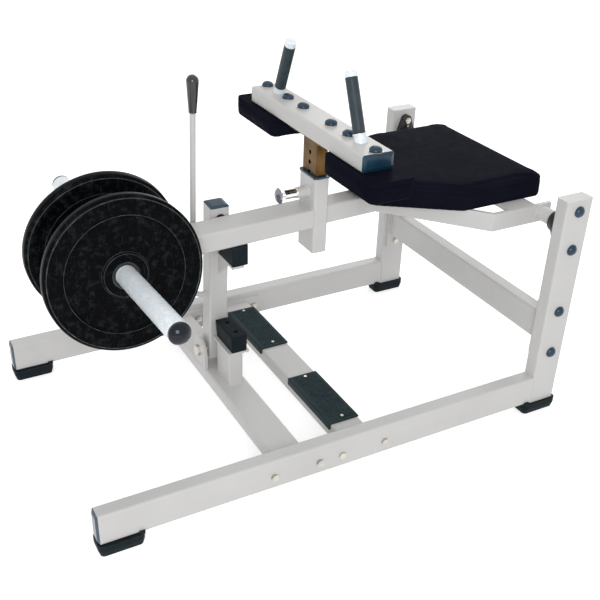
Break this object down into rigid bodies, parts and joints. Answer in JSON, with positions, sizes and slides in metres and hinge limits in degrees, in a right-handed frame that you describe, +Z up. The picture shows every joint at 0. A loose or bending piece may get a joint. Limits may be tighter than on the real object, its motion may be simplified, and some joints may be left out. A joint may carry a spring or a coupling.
{
  "type": "seated calf raise machine",
  "caption": "Plate-loaded seated calf raise machine: pivoting lever with seat, thigh pads and weight sleeves over a tube frame with foot pads and a swing-away prop.",
  "frame": {"origin": "on the floor, at the middle of the machine's length and of its base width", "axes": "+X to the rear, where the seat and the lever's pivot are; +Y to the far side, where the prop stands; +Z up"},
  "size_m": [1.272, 0.8492, 0.9082],
  "materials": {
    "frame_paint": "light warm grey powder coat, satin",
    "cap_plastic": "dark petrol blue moulded caps, glossy",
    "collar_plastic": "blue plastic liner and collar",
    "zinc_steel": "zinc plated",
    "bearing_black": "black coated casting",
    "rubber": "black moulded rubber, matt",
    "plate_rubber": "black rubber, slightly glossy",
    "sleeve_steel": "galvanised tube, mottled",
    "chrome": "chrome plated",
    "yellow_zinc": "yellow zinc plated",
    "knob_plastic": "gloss black",
    "vinyl": "navy black upholstery vinyl, satin",
    "board": "plywood"
  },
  "bodies": {
    "frame": {"near_base_tube": "frame_paint", "far_base_tube": "frame_paint", "near_rear_post": "frame_paint", "far_rear_post": "frame_paint", "front_cross_tube": "frame_paint", "foot_cross_tube": "frame_paint", "rear_cross_tube": "frame_paint", "base_end_caps": "cap_plastic", "frame_bolts": "zinc_steel", "post_bolt_caps": "cap_plastic", "front_feet": "rubber", "rear_feet": "rubber", "near_foot_pad": "rubber", "far_foot_pad": "rubber", "foot_pad_screws": "zinc_steel", "lower_bumper_post": "frame_paint", "lower_bumper": "rubber", "prop_hinge_ears": "frame_paint", "prop_hinge_bolt": "zinc_steel", "near_bearing_housing": "bearing_black", "far_bearing_housing": "bearing_black"},
    "lever": {"bearing_rings": "zinc_steel", "main_arm": "frame_paint", "rear_arm": "frame_paint", "adjuster_tube": "frame_paint", "adjuster_collar": "collar_plastic", "near_yoke_bar": "frame_paint", "far_yoke_bar": "frame_paint", "near_yoke_brace": "frame_paint", "far_yoke_brace": "frame_paint", "yoke_cross_plate": "frame_paint", "stub_shafts": "frame_paint", "near_weight_sleeve": "sleeve_steel", "far_weight_sleeve": "sleeve_steel", "sleeve_end_caps": "cap_plastic", "seat_board": "board", "seat_cushion": "vinyl", "seat_bolts": "zinc_steel", "pull_pin_housing": "chrome", "pull_pin_spring": "zinc_steel"},
    "pull_pin": {"pull_pin": "chrome", "pull_pin_knob": "chrome"},
    "thigh_rest": {"inner_post": "yellow_zinc", "thigh_bar": "frame_paint", "bar_end_caps": "cap_plastic", "thigh_bar_bolts": "cap_plastic", "handle_stems": "frame_paint", "handle_grips": "rubber", "near_thigh_pad": "vinyl", "far_thigh_pad": "vinyl", "thigh_pad_boards": "board"},
    "prop": {"prop_column": "frame_paint", "prop_cap": "cap_plastic", "prop_bracket": "frame_paint", "upper_bumper": "rubber", "prop_side_buffer": "rubber", "hand_lever_rod": "frame_paint", "hand_lever_knob": "knob_plastic"},
    "near_plate": {"near_weight_plate": "plate_rubber"},
    "far_plate": {"far_weight_plate": "plate_rubber"}
  },
  "joints": [
    {"name": "lever_pivot", "type": "hinge", "parent": "frame", "child": "lever", "pos_m": [0.59, 0, 0.528], "axis": [0, 1, 0], "range_deg": [0, 12]},
    {"name": "prop_hinge", "type": "hinge", "parent": "frame", "child": "prop", "pos_m": [-0.149, 0.098, 0.124], "axis": [-1, 0, 0], "range_deg": [0, 15]},
    {"name": "thigh_rest_height", "type": "slide", "parent": "lever", "child": "thigh_rest", "axis": [0, 0, 1], "range_m": [-0.075, 0.1]},
    {"name": "pull_pin_slide", "type": "slide", "parent": "lever", "child": "pull_pin", "axis": [-1, 0, 0], "range_m": [0, 0.015], "stiffness_N_per_m": 1500, "springref_m": -0.01, "deforming": ["pull_pin_spring"]},
    {"name": "near_plate_slide", "type": "slide", "parent": "lever", "child": "near_plate", "axis": [0, -0.9966, 0.083], "range_m": [0, 0.28]},
    {"name": "far_plate_slide", "type": "slide", "parent": "lever", "child": "far_plate", "axis": [0, 0.9966, 0.083], "range_m": [0, 0.28]}
  ],
  "couplings": [
    {"joint": "prop_hinge", "follows": "lever_pivot", "ratio": 1.25}
  ]
}
